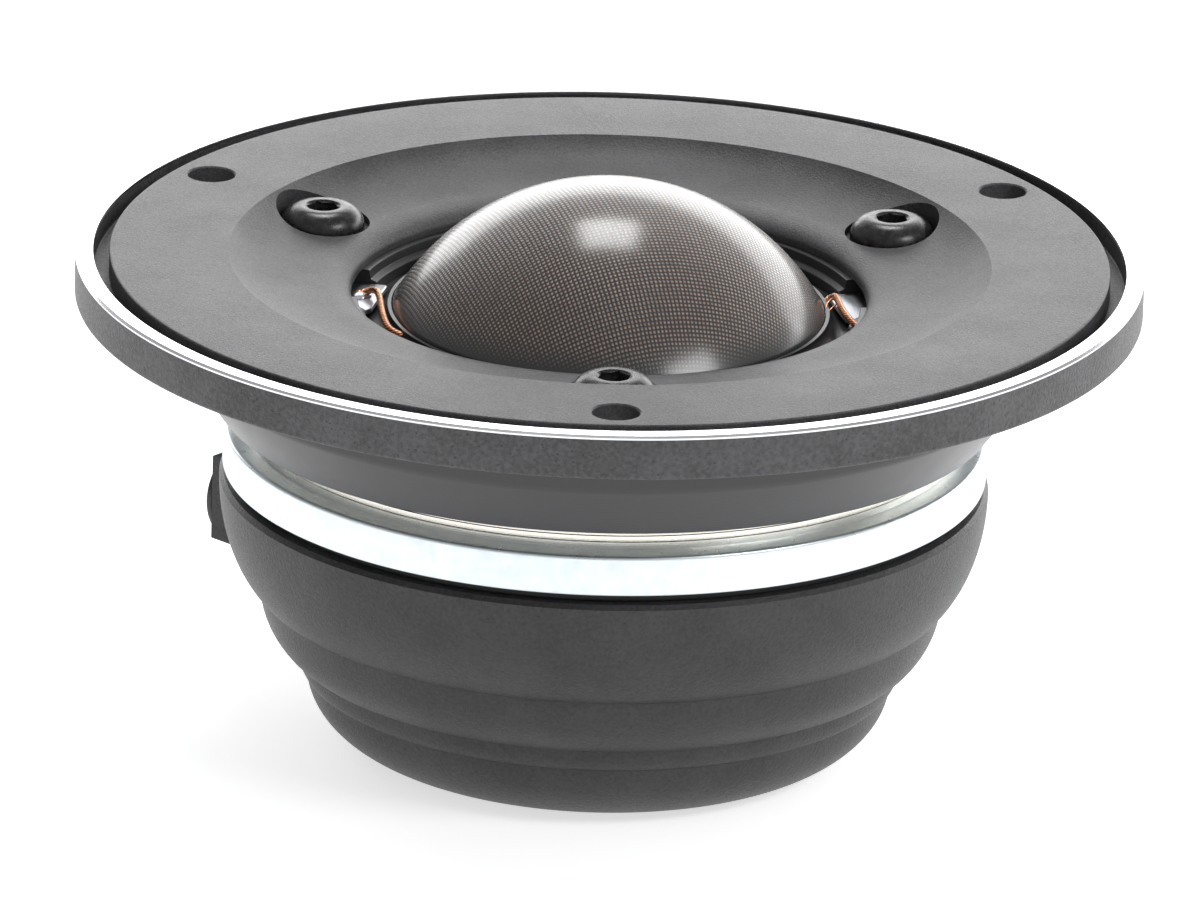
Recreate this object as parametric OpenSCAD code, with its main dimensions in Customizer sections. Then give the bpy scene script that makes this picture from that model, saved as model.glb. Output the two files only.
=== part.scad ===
// Soft-dome car tweeter with a cast flange, a ring-magnet motor and a stepped rear chamber.
// Origin at the centre of the flat base, +Z towards the listener, -Y through one mounting hole.
// Heights inside the part are written as depths behind the front face: at(depth) gives the Z.

/* [Flange and faceplate] */
// Outside diameter of the mounting flange
flange_d = 72; // [71.6:0.1:73]
// Thickness of the mounting flange
flange_t = 3.05; // [3:0.05:3.3]
// Width of the bright trim ring on the flange's edge
trim_w = 1.2; // [1.1:0.1:1.4]
// Width of the groove between the trim ring and the faceplate
groove_w = 1.1; // [0.9:0.1:1.2]
// Thickness of the faceplate's flat rim
faceplate_t = 1.6; // [1.4:0.1:1.8]
// Diameter of the circle of mounting holes
mount_pcd = 62.2; // [62:0.1:62.4]
// Diameter of each mounting hole
mount_hole_d = 3.2; // [3:0.1:3.3]

/* [Waveguide] */
// Diameter where the dish meets the flat face
mouth_d = 51.4; // [50.8:0.2:52]
// Diameter of the throat around the dome
throat_d = 34.8; // [34.6:0.1:35.2]
// Depth of the dish at the throat
throat_depth = 2.75; // [2.6:0.05:2.8]
// Diameter of the circle of faceplate screws
screw_pcd = 44.6; // [44.4:0.1:44.8]
// Depth of the pocket floor under each screw head
pocket_depth = 2.2; // [2.15:0.05:2.3]
// Diameter of each screw head's pocket
pocket_d = 6.4; // [6.1:0.1:6.6]

/* [Diaphragm] */
// Spherical radius of the fabric dome
dome_r = 16.8; // [16.6:0.1:17]
// Height of the dome's apex above the front face
dome_rise = 4.9; // [4.8:0.1:5.1]
// Thickness of the coated fabric
dome_t = 0.3; // [0.25:0.05:0.35]
// Outside radius of the coil former
former_r = 14.15; // [14.1:0.05:14.15]

/* [Motor] */
// Thickness of the steel front plate
front_plate_t = 3; // [2.8:0.1:3.1]
// Thickness of the ring magnet and its sleeve
magnet_t = 3.4; // [3.3:0.1:3.5]
// Diameter of the turned sleeve around the magnet
sleeve_d = 48.4; // [48.2:0.1:48.8]
// Diameter of the zinc-plated back plate
back_plate_d = 51.6; // [51.4:0.1:52]
// Thickness of the back plate
back_plate_t = 2.78; // [2.7:0.02:2.9]
// Diameter of the vent through the pole piece
vent_d = 8; // [6:0.5:9]

/* [Rear chamber] */
// Depth from the front face to the flat base
total_depth = 34.3; // [34.2:0.1:34.6]
// Radius of the chamber's rim
chamber_r = 26; // [25.9:0.1:26.2]
// Radius of the flat base
base_r = 14.6; // [14.4:0.1:15]
// Wall thickness
wall = 2.2; // [2:0.1:2.3]

/* [Terminals] */
// Direction in which the terminal boss faces, in degrees
boss_az = 140; // [136:1:142]
// Distance of the boss's flat face from the axis
boss_face = 27; // [26.9:0.1:27.2]
// Width of the boss
boss_w = 19.4; // [19:0.1:19.6]

/* [Hidden] */
$fn = 96;

// Clearance on each curved face that slips into another
slip = 0.05;
// Overshoot of a cutting tool beyond the face it cuts
cut = 0.5;
// Number of mounting holes, of faceplate screws and of chamber screws
fixings = 3;
// Azimuth of the first mounting hole and of the first screw
first_az = -90;

flange_r = flange_d / 2;
trim_inner_r = flange_r - trim_w;
trim_t = 0.24;
trim_bevel_w = 0.2;
trim_bevel_h = 0.12;
faceplate_r = trim_inner_r - groove_w;
edge_break = 0.2;

mouth_r = mouth_d / 2;
throat_r = throat_d / 2;
ridge_r = 19.6;
dish_drop = 1.87;
dish_run = 2.15;
dish_steps = 12;

collar_r = 29.1;
collar_straight = 3.35;
collar_tip_r = 26.3;
collar_end = 10.3;
collar_web_t = 2.65;
collar_bore_r = 25.5;
collar_mouth_r = 18.7;
web_r = 28.7;
seat_relief = 0.4;

m3_r = 1.5;
m3_core_r = 1.25;
m3_clear_r = 1.7;
button_r = 2.85;
button_h = 1.65;
button_flat_r = 1.5;
hex_af = 2;
hex_depth = 1;
face_screw_l = 6;

dome_centre = dome_r - dome_rise;
dome_base = 3.6;
skirt_r = 14.6;
skirt_h = 0.6;
former_t = 0.2;
former_end = 8.4;
coil_t = 0.35;
coil_h = 2;

surround_in_r = 14.65;
surround_roll_r = 16.1;
surround_out_r = 16.7;
surround_t = 0.25;
surround_seat = 4.8;
surround_steps = 9;
clamp_in_r = 16.4;
clamp_out_r = 18.6;

lug_az = 12;
lug_w = 5.6;
lug_shift = 1.1;
lug_t = 0.35;
lug_top = 4;
lug_in_r = 15.6;
lug_out_r = 17.9;
lead_r = 0.25;
lead_path_r = 15.75;
lead_depth = 3.75;
lead_rise = 0.25;
lead_sweep = 32;
lead_end_r = 14.95;
lead_steps = 12;
lead_sides = 8;

plate_top = flange_t + collar_web_t;
magnet_top = plate_top + front_plate_t;
back_top = magnet_top + magnet_t;
back_end = back_top + back_plate_t;
gap_in_r = 14.9;
front_plate_r = 25.4;
magnet_in_r = 18.2;
magnet_out_r = 22.3;
pole_r = 13.4;
pole_root_r = 9;
cap_t = 0.2;
cap_skirt = 3.5;
pad_r = 12;
pad_h = 1.5;
wire_hole_r = 0.8;
eyelet_r = 0.55;

gasket_t = 0.65;
rim_top = back_end + gasket_t;
floor_t = 2.3;
post_ring_r = 11;
post_r = 3.2;
post_az = 30;
post_screw_l = 14;
post_head_r = 2.75;
post_head_h = 3;
post_hex_af = 2.5;
post_hex_depth = 1.5;
counterbore_r = 2.9;
counterbore_depth = 7;
foam_r = 15.3;
foam_top = 18.6;
foam_h = 6.9;

boss_top = 17.6;
boss_h = 7.4;
boss_round = 2.5;
pocket_face = 24.8;
pocket_w = 16;
pocket_top = 19.6;
pocket_h = 4.2;
pocket_round = 1.5;
terminal_depth = 21.9;
terminal_w = 18;
terminal_h = 6.4;
terminal_t = 0.5;
tab_t = 0.5;
tab_top = 20.3;
tab_end = 28.8;
tab_tip = 0.8;
tab_wide = 4.8;
tab_narrow = 2.8;
positive_s = -5;
negative_s = 1;
rivet_r = 1;
rivet_head_r = 1.5;
small_rivet = 0.85;
tab_hole_r = 0.6;
tab_hole_rise = 2.4;
rivet_head_t = 0.3;
rivet_tail = 24.3;

wire_r = 0.55;
bend_swell = 0.03;
wire_ring_r = 17.3;
wire_level = 17;

// Tiers of the chamber: radius and depth where each starts and ends, and how far it bends in
rim_round = 0.3;
tier_1 = [[chamber_r, rim_top + rim_round], [23.5, 23.2], 58];
tier_2 = [[23.1, 23.5], [21.1, 27.6], 55];
tier_3 = [[20.5, 27.9], [20.1, 29.3], 50];
tier_4 = [[19.8, 29.5], [base_r, total_depth], 76];
// The same for the space inside
cavity_1 = [[chamber_r - wall, rim_top + rim_round], [20.6, 23.4], 58];
cavity_2 = [[20.6, 23.5], [17.6, total_depth - floor_t], 70];

// Z of a place that lies d behind the front face
function at(d) = total_depth - d;
// Points of a tier: a piece of an ellipse that starts upright and bends in to its end
function tier(t, steps) = [
    for (i = [0 : steps])
        let (
            a = t[2] * i / steps,
            inwards = (1 - cos(a)) / (1 - cos(t[2])),
            down = sin(a) / sin(t[2])
        )
        [
            t[0][0] + (t[1][0] - t[0][0]) * inwards,
            at(t[0][1] + (t[1][1] - t[0][1]) * down)
        ]
];
// Depth of the dish at s in from its mouth: steep at first, then nearly flat
function dish_depth(s) = dish_drop * (1 - exp(-s / dish_run));
// Points of the waveguide from the mouth over the dish, then over the rounded ridge into the throat
function dish() = concat(
    [
        for (i = [0 : dish_steps])
            let (s = (mouth_r - ridge_r) * i / dish_steps)
            [mouth_r - s, at(dish_depth(s))]
    ],
    [
        for (a = [15 : 15 : 90])
            let (start = dish_depth(mouth_r - ridge_r))
            [
                ridge_r - (ridge_r - throat_r) * sin(a),
                at(start + (throat_depth - start) * (1 - cos(a)))
            ]
    ]
);
// A point on the ring at radius r, azimuth az and depth d
function polar(r, az, d) = [r * cos(az), r * sin(az), at(d)];
// A point at distance r out along the boss's direction, s to its side
function boss_point(r, s, d) = [
    r * cos(boss_az) - s * sin(boss_az),
    r * sin(boss_az) + s * cos(boss_az),
    at(d)
];

// Ring between two radii from depth d1 down to depth d2
module ring(r_in, r_out, d1, d2) {
    difference() {
        translate([0, 0, at(d2)]) cylinder(h = d2 - d1, r = r_out);
        translate([0, 0, at(d2) - cut]) cylinder(h = d2 - d1 + 2 * cut, r = r_in);
    }
}

// Round hole of radius r, at x, y, from depth d1 to depth d2, cut past both
module hole(x, y, r, d1, d2) {
    translate([x, y, at(d2) - cut]) cylinder(h = d2 - d1 + 2 * cut, r = r);
}

// Places its children at each of the fixings on a circle of radius r
module around(r, az) {
    for (i = [0 : fixings - 1])
        rotate([0, 0, az + i * 360 / fixings])
            translate([r, 0, 0])
                children();
}

// Straight rod from p to q
module rod(p, q, r) {
    v = q - p;
    translate(p)
        rotate([0, acos(v[2] / norm(v)), atan2(v[1], v[0])])
            cylinder(h = norm(v), r = r, $fn = 24);
}

// Insulated wire through a list of points, rounded at each bend
module wire(points, r) {
    for (i = [1 : len(points) - 1])
        rod(points[i - 1], points[i], r);
    for (i = [1 : len(points) - 2])
        translate(points[i]) sphere(r = r + bend_swell, $fn = 24);
}

// Round tube along a level route of points, with lead_sides flats
module level_tube(route, r) {
    last = len(route) - 1;
    rings = [
        for (i = [0 : last])
            let (
                ahead = route[min(i + 1, last)] - route[max(i - 1, 0)],
                side = cross(ahead, [0, 0, 1]) / norm(ahead)
            )
            for (k = [0 : lead_sides - 1])
                let (a = 360 * k / lead_sides)
                route[i] + r * (cos(a) * side + [0, 0, sin(a)])
    ];
    skin = [
        for (i = [0 : last - 1], k = [0 : lead_sides - 1])
            let (next = (k + 1) % lead_sides)
            [
                i * lead_sides + k,
                i * lead_sides + next,
                (i + 1) * lead_sides + next,
                (i + 1) * lead_sides + k
            ]
    ];
    start_cap = [for (k = [lead_sides - 1 : -1 : 0]) k];
    end_cap = [for (k = [0 : lead_sides - 1]) last * lead_sides + k];
    polyhedron(points = rings, faces = concat(skin, [start_cap, end_cap]));
}

// Rounded rectangle, centred
module rounded_rect(w, h, r) {
    square([w - 2 * r, h], center = true);
    square([w, h - 2 * r], center = true);
    for (x = [-1, 1], y = [-1, 1])
        translate([x * (w / 2 - r), y * (h / 2 - r)])
            circle(r = r, $fn = 48);
}

// Extrudes a flat outline outwards from the boss: outline x is sideways, outline y is up
module outwards(r1, r2, s, d) {
    rotate([0, 0, boss_az])
        translate([r1, s, at(d)])
            rotate([90, 0, 90])
                linear_extrude(height = r2 - r1)
                    children();
}

// Button-head screw hanging down from its head's seat at z = 0, with a hexagon socket
module button_screw(shank_l) {
    head = [
        [0, 0],
        [button_r, 0],
        [button_r, 0.25],
        for (a = [15 : 15 : 75])
            [
                button_flat_r + (button_r - button_flat_r) * cos(a),
                0.25 + (button_h - 0.25) * sin(a)
            ],
        [button_flat_r, button_h],
        [0, button_h]
    ];
    difference() {
        union() {
            rotate_extrude($fn = 64) polygon(head);
            translate([0, 0, -shank_l]) cylinder(h = shank_l + 0.1, r = m3_r, $fn = 48);
        }
        translate([0, 0, button_h - hex_depth])
            cylinder(h = hex_depth + cut, r = hex_af / sqrt(3), $fn = 6);
    }
}

// Ring casting that carries the flange's edge, the groove floor and the mounting holes
module flange_ring() {
    section = [
        [web_r + slip, at(faceplate_t)],
        [trim_inner_r, at(faceplate_t)],
        [trim_inner_r, at(trim_t)],
        [flange_r, at(trim_t)],
        [flange_r, at(flange_t - edge_break)],
        [flange_r - edge_break, at(flange_t)],
        [collar_r + slip, at(flange_t)],
        [web_r + slip, at(flange_t - seat_relief)]
    ];
    color("dimgray")
    difference() {
        rotate_extrude($fn = 180) polygon(section);
        around(mount_pcd / 2, first_az) hole(0, 0, mount_hole_d / 2, faceplate_t, flange_t);
    }
}

// Diamond-cut aluminium ring on the flange's front edge, bevelled on the outside
module trim_ring() {
    section = [
        [trim_inner_r, at(trim_t)],
        [trim_inner_r, at(0)],
        [flange_r - trim_bevel_w, at(0)],
        [flange_r, at(trim_bevel_h)],
        [flange_r, at(trim_t)]
    ];
    color("gainsboro")
    rotate_extrude($fn = 180) polygon(section);
}

// Textured front casting with the dished waveguide and the screw pockets
module faceplate() {
    section = concat(
        [
            [throat_r, at(flange_t)],
            [web_r, at(flange_t)],
            [web_r, at(faceplate_t)],
            [faceplate_r, at(faceplate_t)],
            [faceplate_r, at(edge_break)],
            [faceplate_r - edge_break, at(0)]
        ],
        dish()
    );
    color("gray")
    difference() {
        rotate_extrude($fn = 180) polygon(section);
        around(mount_pcd / 2, first_az) hole(0, 0, mount_hole_d / 2, 0, faceplate_t);
        around(screw_pcd / 2, first_az) {
            hole(0, 0, m3_clear_r, 0, flange_t);
            translate([0, 0, at(pocket_depth)]) cylinder(h = pocket_depth + cut, r = pocket_d / 2);
        }
    }
}

// Smooth tapered collar behind the flange: it locates in the panel and covers the front plate
module rear_collar() {
    section = [
        [collar_mouth_r, at(flange_t)],
        [collar_r, at(flange_t)],
        [collar_r, at(flange_t + collar_straight)],
        [collar_tip_r, at(collar_end - edge_break)],
        [collar_tip_r - edge_break, at(collar_end)],
        [collar_bore_r, at(collar_end)],
        [collar_bore_r, at(plate_top)],
        [collar_mouth_r, at(plate_top)]
    ];
    color("darkslategray")
    difference() {
        rotate_extrude($fn = 180) polygon(section);
        around(screw_pcd / 2, first_az) hole(0, 0, m3_clear_r, flange_t, plate_top);
    }
}

// Three screws that clamp the faceplate and the collar to the front plate
module faceplate_screws() {
    color("black")
    around(screw_pcd / 2, first_az)
        translate([0, 0, at(pocket_depth)])
            button_screw(face_screw_l);
}

// Woven dome cap with the short skirt that is bonded round the former
module dome() {
    color("saddlebrown")
    difference() {
        union() {
            intersection() {
                translate([0, 0, at(dome_centre)]) sphere(r = dome_r, $fn = 144);
                translate([0, 0, at(dome_base)]) cylinder(h = dome_base + dome_rise + 1, r = dome_r);
            }
            translate([0, 0, at(dome_base + skirt_h)]) cylinder(h = skirt_h + 0.05, r = skirt_r);
        }
        intersection() {
            translate([0, 0, at(dome_centre)]) sphere(r = dome_r - dome_t, $fn = 144);
            translate([0, 0, at(dome_base)]) cylinder(h = dome_base + dome_rise + 1, r = dome_r);
        }
        translate([0, 0, at(dome_base + skirt_h) - cut])
            cylinder(h = skirt_h + cut + 0.01, r = former_r);
    }
}

// Thin tube that carries the coil, glued inside the dome's skirt
module coil_former() {
    color("peru")
    ring(former_r - former_t, former_r - 0.01, dome_base + 0.05, former_end);
}

// Copper winding centred in the magnetic gap
module voice_coil() {
    gap_mid = plate_top + front_plate_t / 2;
    color("orangered")
    ring(former_r, former_r + coil_t, gap_mid - coil_h / 2, gap_mid + coil_h / 2);
}

// Points of a quarter ellipse that falls from beside the skirt to the flat, w wide and h high
function fall(w, h) = [
    for (i = [0 : surround_steps])
        let (a = 90 * i / surround_steps)
        [surround_roll_r - w * cos(a), at(dome_base + h * sin(a))]
];

// Quarter-roll of coated cloth between the dome's skirt and the frame
module surround() {
    w = surround_roll_r - surround_in_r;
    h = surround_seat - dome_base;
    lower = fall(w, h);
    upper = fall(w - surround_t, h - surround_t);
    section = concat(
        lower,
        [
            [surround_out_r, at(surround_seat)],
            [surround_out_r, at(surround_seat - surround_t)]
        ],
        [for (i = [surround_steps : -1 : 0]) upper[i]]
    );
    color("black")
    rotate_extrude($fn = 144) polygon(section);
}

// Moulded ring on the front plate that the surround is bonded to
module diaphragm_frame() {
    color("dimgray")
    difference() {
        ring(surround_roll_r, clamp_out_r, surround_seat, plate_top);
        for (az = [lug_az, 180 - lug_az])
            rotate([0, 0, az]) hole(wire_ring_r, 0, wire_hole_r, surround_seat, plate_top);
    }
}

// Black ring that holds the surround's edge down, slotted for the two lugs
module clamp_ring() {
    section = [
        [clamp_in_r, at(surround_seat - surround_t)],
        [clamp_in_r, at(flange_t + 0.5)],
        [clamp_in_r + 0.45, at(flange_t)],
        [clamp_out_r, at(flange_t)],
        [clamp_out_r, at(surround_seat)],
        [surround_out_r + slip, at(surround_seat)],
        [surround_out_r + slip, at(surround_seat - surround_t)]
    ];
    color("black")
    difference() {
        rotate_extrude($fn = 144) polygon(section);
        lug_plate(lug_az, -lug_shift, surround_seat - flange_t + 2 * cut);
        lug_plate(180 - lug_az, lug_shift, surround_seat - flange_t + 2 * cut);
    }
}

// The lug's flat plate at azimuth az, moved sideways by shift, or the slot of height h for it
module lug_plate(az, shift, h = 0) {
    gap = h > 0 ? slip : 0;
    bottom = h > 0 ? surround_seat + cut : lug_top + lug_t;
    rotate([0, 0, az])
        translate([lug_in_r - gap, shift - lug_w / 2 - gap, at(bottom)])
            cube([lug_out_r - lug_in_r + 2 * gap, lug_w + 2 * gap, h > 0 ? h : lug_t]);
}

// Tinned lug on which a tinsel lead meets its hook-up wire, with a round eyelet under it
module solder_lug(az, shift) {
    color("silver") {
        lug_plate(az, shift);
        rotate([0, 0, az])
            translate([wire_ring_r, 0, at(surround_seat)])
                cylinder(h = surround_seat - lug_top - lug_t, r = eyelet_r, $fn = 32);
    }
}

module solder_lug_left() {
    solder_lug(180 - lug_az, lug_shift);
}

module solder_lug_right() {
    solder_lug(lug_az, -lug_shift);
}

// Braided copper lead: out from the lug, an arc over the surround, then in to the dome's foot
module tinsel_lead_right() {
    finish = lug_az - lead_sweep;
    dome_end = lead_depth - lead_rise;
    route = concat(
        [polar(lug_in_r + 1.2, lug_az + 2, lead_depth)],
        [
            for (i = [0 : lead_steps])
                let (t = i / lead_steps)
                polar(lead_path_r, lug_az - lead_sweep * t, lead_depth - lead_rise * t)
        ],
        [polar(lead_end_r, finish - 3, dome_end)]
    );
    color("chocolate") level_tube(route, lead_r);
}

module tinsel_lead_left() {
    mirror([1, 0, 0]) tinsel_lead_right();
}

// Steel plate outside the gap, tapped for the faceplate screws
module front_plate() {
    color("slategray")
    difference() {
        ring(gap_in_r, front_plate_r, plate_top, magnet_top);
        around(screw_pcd / 2, first_az) hole(0, 0, m3_core_r, plate_top, magnet_top);
        for (az = [lug_az, 180 - lug_az])
            rotate([0, 0, az]) hole(wire_ring_r, 0, wire_hole_r, plate_top, magnet_top);
    }
}

// Turned aluminium sleeve that centres the magnet and shows as the bright neck
module magnet_sleeve() {
    color("ivory")
    ring(magnet_out_r + slip, sleeve_d / 2, magnet_top, back_top);
}

// Neodymium ring magnet
module ring_magnet() {
    color("lightsteelblue")
    ring(magnet_in_r, magnet_out_r, magnet_top, back_top);
}

// Zinc-plated steel plate under the magnet, bored for the pole piece
module back_plate() {
    r = back_plate_d / 2;
    bevel = 0.25;
    section = [
        [pole_root_r + slip, at(back_end)],
        [r, at(back_end)],
        [r, at(back_top + bevel)],
        [r - bevel, at(back_top)],
        [pole_root_r + slip, at(back_top)]
    ];
    color("aliceblue")
    difference() {
        rotate_extrude($fn = 180) polygon(section);
        around(post_ring_r, post_az) hole(0, 0, m3_core_r, back_top, back_end);
        for (az = [lug_az, 180 - lug_az])
            rotate([0, 0, az]) hole(wire_ring_r, 0, wire_hole_r, back_top, back_end);
    }
}

// Vented steel pole inside the coil, seated in the back plate
module pole_piece() {
    color("slategray")
    difference() {
        union() {
            translate([0, 0, at(back_top)]) cylinder(h = back_top - plate_top, r = pole_r);
            translate([0, 0, at(back_end)]) cylinder(h = back_plate_t + 0.1, r = pole_root_r);
        }
        hole(0, 0, vent_d / 2, plate_top, back_end);
        around(post_ring_r, post_az) hole(0, 0, m3_r + 0.3, back_top - 2, back_top - cut);
    }
}

// Thin copper cap over the pole's top and upper side
module copper_cap() {
    color("coral")
    union() {
        ring(vent_d / 2, pole_r + slip + cap_t, plate_top - cap_t, plate_top);
        ring(pole_r + slip, pole_r + slip + cap_t, plate_top - 0.01, plate_top + cap_skirt);
    }
}

// Felt ring under the dome
module damping_pad() {
    color("darkolivegreen")
    ring(vent_d / 2 + 0.5, pad_r, plate_top - cap_t - pad_h, plate_top - cap_t);
}

// Rubber gasket between the back plate and the chamber
module chamber_gasket() {
    color("black")
    ring(chamber_r - wall, chamber_r - 1, back_end, rim_top);
}

// The chamber's outer shape, in rounded tiers
module chamber_bowl() {
    outline = concat(
        [[chamber_r - rim_round, at(rim_top)]],
        tier(tier_1, 10),
        tier(tier_2, 7),
        tier(tier_3, 3),
        tier(tier_4, 10),
        [[0, at(total_depth)], [0, at(rim_top)]]
    );
    rotate_extrude($fn = 180) polygon(outline);
}

// The space inside the chamber, open at the top
module chamber_cavity() {
    outline = concat(
        [[chamber_r - wall, at(rim_top - cut)]],
        tier(cavity_1, 6),
        tier(cavity_2, 6),
        [[0, at(total_depth - floor_t)], [0, at(rim_top - cut)]]
    );
    rotate_extrude($fn = 144) polygon(outline);
}

// Stepped rear chamber with its terminal boss and three screw posts
module rear_chamber() {
    boss_mid = boss_top + boss_h / 2;
    pocket_mid = pocket_top + pocket_h / 2;
    post_base = total_depth - floor_t + cut;
    color("dimgray")
    difference() {
        union() {
            difference() {
                union() {
                    chamber_bowl();
                    outwards(18, boss_face, 0, boss_mid)
                        rounded_rect(boss_w, boss_h, boss_round);
                }
                chamber_cavity();
                outwards(17, pocket_face, 0, pocket_mid)
                    rounded_rect(pocket_w, pocket_h, pocket_round);
            }
            around(post_ring_r, post_az)
                translate([0, 0, at(post_base)])
                    cylinder(h = post_base - back_end, r = post_r, $fn = 64);
        }
        around(post_ring_r, post_az) {
            hole(0, 0, m3_clear_r, back_end, total_depth);
            hole(0, 0, counterbore_r, total_depth - counterbore_depth + cut, total_depth);
        }
        for (s = [positive_s, negative_s])
            outwards(pocket_face - cut, boss_face + cut, s, terminal_depth)
                circle(r = rivet_r + slip, $fn = 32);
    }
}

// Screws from the base, up through the posts into the back plate
module chamber_screws() {
    color("black")
    around(post_ring_r, post_az)
        translate([0, 0, at(total_depth - counterbore_depth)])
            rotate([180, 0, 0])
                chamber_screw();
}

// Cylinder-head screw with a hexagon socket
module chamber_screw() {
    difference() {
        union() {
            cylinder(h = post_head_h, r = post_head_r, $fn = 48);
            translate([0, 0, -post_screw_l]) cylinder(h = post_screw_l + 0.1, r = m3_r, $fn = 48);
        }
        translate([0, 0, post_head_h - post_hex_depth])
            cylinder(h = post_hex_depth + cut, r = post_hex_af / sqrt(3), $fn = 6);
    }
}

// Damping foam, cut out for the three posts
module chamber_foam() {
    color("goldenrod")
    difference() {
        translate([0, 0, at(foam_top + foam_h)]) cylinder(h = foam_h, r = foam_r);
        around(post_ring_r, post_az) hole(0, 0, post_r + 0.2, foam_top, foam_top + foam_h);
    }
}

// Smooth oval plate on the boss, under the two tabs
module terminal_plate() {
    color("black")
    difference() {
        outwards(boss_face, boss_face + terminal_t, 0, terminal_depth)
            rounded_rect(terminal_w, terminal_h, terminal_h / 2 - 0.01);
        for (s = [positive_s, negative_s])
            outwards(boss_face - cut, boss_face + terminal_t + cut, s, terminal_depth)
                circle(r = rivet_r + slip, $fn = 32);
    }
}

// Flat tab that hangs below the boss, bored for its rivet, with a tapered tip
module terminal_tab(w, s) {
    top = terminal_depth - tab_top;
    tip = terminal_depth - tab_end;
    outline = [
        [-w / 2, top],
        [w / 2, top],
        [w / 2, tip + tab_tip],
        [w / 2 - tab_tip, tip],
        [-w / 2 + tab_tip, tip],
        [-w / 2, tip + tab_tip]
    ];
    color("silver")
    outwards(boss_face + terminal_t, boss_face + terminal_t + tab_t, s, terminal_depth)
        difference() {
            polygon(outline);
            circle(r = rivet_r + slip, $fn = 32);
            translate([0, tip + tab_hole_rise]) circle(r = tab_hole_r, $fn = 24);
        }
}

module terminal_positive() {
    terminal_tab(tab_wide, positive_s);
}

module terminal_negative() {
    terminal_tab(tab_narrow, negative_s);
}

// Rivets that fasten the tabs and carry the current through the wall
module terminal_rivets() {
    face = boss_face + terminal_t + tab_t;
    color("gold")
    for (s = [positive_s, negative_s]) {
        outwards(rivet_tail, face + 0.1, s, terminal_depth) circle(r = rivet_r, $fn = 32);
        outwards(face, face + rivet_head_t, s, terminal_depth)
            circle(r = rivet_head_r * (s > 0 ? small_rivet : 1), $fn = 32);
    }
}

// Insulated wire from the positive rivet across the chamber and up to the right-hand lug
module hookup_wire_positive() {
    route = [
        boss_point(rivet_tail - wire_r, positive_s, terminal_depth),
        [-9, 18.5, at(wire_level + 0.3)],
        [5, 18, at(wire_level)],
        polar(wire_ring_r, lug_az, wire_level),
        polar(wire_ring_r, lug_az, surround_seat)
    ];
    color("red") wire(route, wire_r);
}

// Insulated wire from the negative rivet along the wall and up to the left-hand lug
module hookup_wire_negative() {
    route = [
        boss_point(rivet_tail - wire_r, negative_s, terminal_depth),
        [-17.6, 9, at(wire_level + 2)],
        polar(wire_ring_r, 180 - lug_az, wire_level),
        polar(wire_ring_r, 180 - lug_az, surround_seat)
    ];
    color("darkblue") wire(route, wire_r);
}

flange_ring();
trim_ring();
faceplate();
rear_collar();
faceplate_screws();
dome();
coil_former();
voice_coil();
surround();
diaphragm_frame();
clamp_ring();
solder_lug_left();
solder_lug_right();
tinsel_lead_left();
tinsel_lead_right();
front_plate();
magnet_sleeve();
ring_magnet();
back_plate();
pole_piece();
copper_cap();
damping_pad();
chamber_gasket();
rear_chamber();
chamber_screws();
chamber_foam();
terminal_plate();
terminal_positive();
terminal_negative();
terminal_rivets();
hookup_wire_positive();
hookup_wire_negative();
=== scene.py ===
import math

import bmesh
import bpy
from mathutils import Matrix, Vector


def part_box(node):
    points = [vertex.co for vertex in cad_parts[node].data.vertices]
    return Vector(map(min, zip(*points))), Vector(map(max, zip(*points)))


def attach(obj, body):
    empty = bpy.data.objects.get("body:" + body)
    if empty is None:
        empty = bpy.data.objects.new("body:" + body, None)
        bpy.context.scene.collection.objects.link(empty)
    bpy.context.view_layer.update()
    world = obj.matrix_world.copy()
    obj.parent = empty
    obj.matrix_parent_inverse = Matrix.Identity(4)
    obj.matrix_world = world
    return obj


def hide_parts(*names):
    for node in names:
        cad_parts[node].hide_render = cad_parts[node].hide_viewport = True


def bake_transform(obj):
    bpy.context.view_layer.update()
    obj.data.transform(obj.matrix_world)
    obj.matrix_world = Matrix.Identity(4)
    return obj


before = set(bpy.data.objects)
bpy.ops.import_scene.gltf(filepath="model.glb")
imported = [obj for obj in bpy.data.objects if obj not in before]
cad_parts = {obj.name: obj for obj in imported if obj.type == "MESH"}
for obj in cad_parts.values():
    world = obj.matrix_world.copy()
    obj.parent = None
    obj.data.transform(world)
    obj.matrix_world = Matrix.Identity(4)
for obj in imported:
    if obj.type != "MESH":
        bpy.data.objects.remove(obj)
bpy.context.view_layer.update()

# ---------------------------------------------------------------- sizes, in metres, from the frame
MM = 0.001
STEPS = 288
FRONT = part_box("trim_ring")[1].z
FLANGE_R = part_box("flange_ring")[1].x
FLANGE_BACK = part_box("flange_ring")[0].z
TRIM_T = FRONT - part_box("trim_ring")[0].z
FACE_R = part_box("faceplate")[1].x
FACE_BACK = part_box("faceplate")[0].z
DOME_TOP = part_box("dome")[1].z
DOME_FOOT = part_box("dome")[0].z
DOME_RADIUS = 16.8 * MM
DOME_CLOTH = 0.3 * MM
COLLAR_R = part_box("rear_collar")[1].x
COLLAR_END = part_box("rear_collar")[0].z
SLEEVE_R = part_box("magnet_sleeve")[1].x
BACK_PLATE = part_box("back_plate")
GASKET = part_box("chamber_gasket")
CHAMBER_TOP = GASKET[0].z


def depth(millimetres):
    """Height of a place that lies that far behind the front face."""
    return FRONT - millimetres * MM


def polar(r, azimuth, down):
    """Point at radius r and depth down, in millimetres, azimuth in degrees."""
    a = math.radians(azimuth)
    return Vector((r * MM * math.cos(a), r * MM * math.sin(a), depth(down)))


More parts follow.
